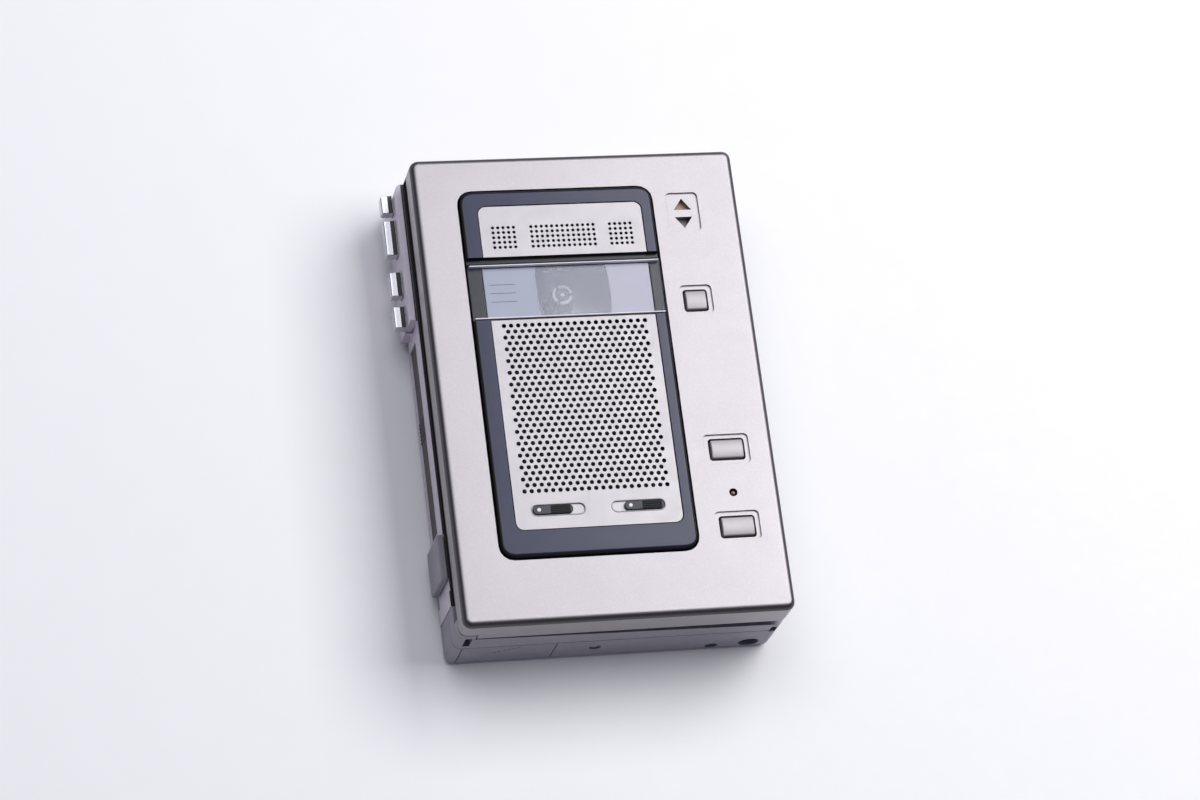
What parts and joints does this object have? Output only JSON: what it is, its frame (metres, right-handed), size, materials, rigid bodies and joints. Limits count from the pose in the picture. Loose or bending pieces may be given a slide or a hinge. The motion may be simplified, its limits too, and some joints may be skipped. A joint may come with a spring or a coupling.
{
  "type": "portable cassette dictation recorder",
  "caption": "Handheld cassette dictation recorder lying on its back: silver hinged lid with speaker grille, microphones, tape window and switches, side keys, battery door.",
  "frame": {"origin": "centre of the flat rear face that the recorder lies on", "axes": "+X to the right seen from the front, +Y towards the microphone end, +Z out of the front"},
  "size_m": [0.0998, 0.137, 0.0357],
  "materials": {
    "silver_paint": "satin silver paint over moulded plastic",
    "case_grey": "fine satin grey",
    "bezel_grey": "satin blue-grey",
    "aluminium": "fine satin, perforated",
    "black_plastic": "satin black",
    "dark_grip": "ribbed dark grey",
    "chrome": "plated, polished",
    "steel": "plain sheet steel",
    "brass": "turned",
    "rubber": "matt",
    "clear": "clear moulded window",
    "white_plastic": "smooth",
    "card": "pale blue-grey printed card",
    "orange": "flat orange",
    "red_lamp": "dark red lens",
    "board_green": "circuit board",
    "paper": "pressed cone",
    "button_grey": "satin warm grey"
  },
  "bodies": {
    "body": {"rear_case": "case_grey", "mid_frame": "case_grey", "finger_rail": "black_plastic", "side_panel": "case_grey", "side_grip": "dark_grip", "battery_contact": "steel", "battery_spring": "steel", "deck_plate": "steel", "well_liner": "black_plastic", "motor": "steel", "drive_belt": "rubber", "circuit_board": "board_green", "earphone_jack": "black_plastic", "power_jack": "black_plastic", "case_screw_1": "steel", "case_screw_2": "steel", "case_screw_3": "steel", "case_screw_4": "steel", "end_screw": "steel", "upper_hinge_pin": "steel", "lower_hinge_pin": "steel"},
    "record_key": {"record_key": "black_plastic", "record_key_cap": "chrome"},
    "play_key": {"play_key": "black_plastic", "play_key_cap": "chrome"},
    "wind_key": {"wind_key": "black_plastic", "wind_key_cap": "chrome"},
    "stop_key": {"stop_key": "black_plastic", "stop_key_cap": "chrome"},
    "lid_release": {"lid_release": "case_grey"},
    "battery_door": {"battery_door": "case_grey"},
    "head_carriage": {"head_carriage": "steel", "tape_head": "steel"},
    "upper_pinch_roller": {"upper_pinch_roller": "rubber"},
    "lower_pinch_roller": {"lower_pinch_roller": "rubber"},
    "upper_spindle": {"upper_spindle": "white_plastic"},
    "lower_spindle": {"lower_spindle": "white_plastic"},
    "upper_flywheel": {"upper_flywheel": "brass"},
    "lower_flywheel": {"lower_flywheel": "brass"},
    "motor_pulley": {"motor_pulley": "brass"},
    "volume_wheel": {"volume_wheel": "black_plastic"},
    "lid": {"lid_shell": "silver_paint", "bezel": "bezel_grey", "mic_plate": "aluminium", "grille_plate": "aluminium", "window_lens": "clear", "legend_card": "card", "speaker_basket": "steel", "speaker_cone": "paper", "speaker_magnet": "steel", "left_microphone": "aluminium", "right_microphone": "aluminium", "lid_board": "board_green", "record_lamp": "red_lamp"},
    "direction_flag": {"direction_flag": "orange"},
    "left_switch_knob": {"left_switch_knob": "black_plastic"},
    "right_switch_knob": {"right_switch_knob": "black_plastic"},
    "upper_button": {"upper_button": "button_grey"},
    "middle_button": {"middle_button": "button_grey"},
    "lower_button": {"lower_button": "button_grey"}
  },
  "joints": [
    {"name": "lid_hinge", "type": "hinge", "parent": "body", "child": "lid", "pos_m": [0.0452, 0, 0.0174], "axis": [0, 1, 0], "range_deg": [0, 100]},
    {"name": "record_key_press", "type": "slide", "parent": "body", "child": "record_key", "axis": [1, 0, 0], "range_m": [0, 0.0024], "stiffness_N_per_m": 400},
    {"name": "play_key_press", "type": "slide", "parent": "body", "child": "play_key", "axis": [1, 0, 0], "range_m": [0, 0.0024], "stiffness_N_per_m": 400},
    {"name": "wind_key_press", "type": "slide", "parent": "body", "child": "wind_key", "axis": [1, 0, 0], "range_m": [0, 0.0024], "stiffness_N_per_m": 400},
    {"name": "stop_key_press", "type": "slide", "parent": "body", "child": "stop_key", "axis": [1, 0, 0], "range_m": [0, 0.0024], "stiffness_N_per_m": 400},
    {"name": "lid_release_slide", "type": "slide", "parent": "body", "child": "lid_release", "axis": [0, -1, 0], "range_m": [0, 0.0025], "stiffness_N_per_m": 300},
    {"name": "battery_door_slide", "type": "slide", "parent": "body", "child": "battery_door", "axis": [0, -1, 0], "range_m": [0, 0.055]},
    {"name": "head_carriage_slide", "type": "slide", "parent": "body", "child": "head_carriage", "axis": [-1, 0, 0], "range_m": [0, 0.0037]},
    {"name": "upper_pinch_roller_spin", "type": "hinge", "parent": "head_carriage", "child": "upper_pinch_roller", "pos_m": [0.034, 0.0285, 0.023], "axis": [0, 0, 1], "continuous": true},
    {"name": "lower_pinch_roller_spin", "type": "hinge", "parent": "head_carriage", "child": "lower_pinch_roller", "pos_m": [0.034, -0.0115, 0.023], "axis": [0, 0, 1], "continuous": true},
    {"name": "upper_spindle_spin", "type": "hinge", "parent": "body", "child": "upper_spindle", "pos_m": [-0.0056, 0.0297, 0.017], "axis": [0, 0, 1], "continuous": true},
    {"name": "lower_spindle_spin", "type": "hinge", "parent": "body", "child": "lower_spindle", "pos_m": [-0.0056, -0.0128, 0.017], "axis": [0, 0, 1], "continuous": true},
    {"name": "upper_flywheel_spin", "type": "hinge", "parent": "body", "child": "upper_flywheel", "pos_m": [0.0245, 0.0285, 0.013], "axis": [0, 0, 1], "continuous": true},
    {"name": "lower_flywheel_spin", "type": "hinge", "parent": "body", "child": "lower_flywheel", "pos_m": [0.0245, -0.0115, 0.013], "axis": [0, 0, 1], "continuous": true},
    {"name": "motor_pulley_spin", "type": "hinge", "parent": "body", "child": "motor_pulley", "pos_m": [0.002, -0.038, 0.014], "axis": [0, 0, 1], "continuous": true},
    {"name": "volume_wheel_turn", "type": "hinge", "parent": "body", "child": "volume_wheel", "pos_m": [0.0398, 0.05, 0.0095], "axis": [0, 0, 1], "range_deg": [-135, 135]},
    {"name": "direction_flag_slide", "type": "slide", "parent": "lid", "child": "direction_flag", "axis": [0, -1, 0], "range_m": [0, 0.0055]},
    {"name": "left_switch_slide", "type": "slide", "parent": "lid", "child": "left_switch_knob", "axis": [1, 0, 0], "range_m": [0, 0.0032]},
    {"name": "right_switch_slide", "type": "slide", "parent": "lid", "child": "right_switch_knob", "axis": [-1, 0, 0], "range_m": [0, 0.0032]},
    {"name": "upper_button_press", "type": "slide", "parent": "lid", "child": "upper_button", "axis": [0, 0, -1], "range_m": [0, 0.0009], "stiffness_N_per_m": 300},
    {"name": "middle_button_press", "type": "slide", "parent": "lid", "child": "middle_button", "axis": [0, 0, -1], "range_m": [0, 0.0009], "stiffness_N_per_m": 300},
    {"name": "lower_button_press", "type": "slide", "parent": "lid", "child": "lower_button", "axis": [0, 0, -1], "range_m": [0, 0.0009], "stiffness_N_per_m": 300}
  ],
  "couplings": [
    {"joint": "head_carriage_slide", "follows": "play_key_press", "ratio": 1.5416},
    {"joint": "lower_flywheel_spin", "follows": "upper_flywheel_spin", "ratio": -1},
    {"joint": "motor_pulley_spin", "follows": "upper_flywheel_spin", "ratio": 4.322}
  ]
}
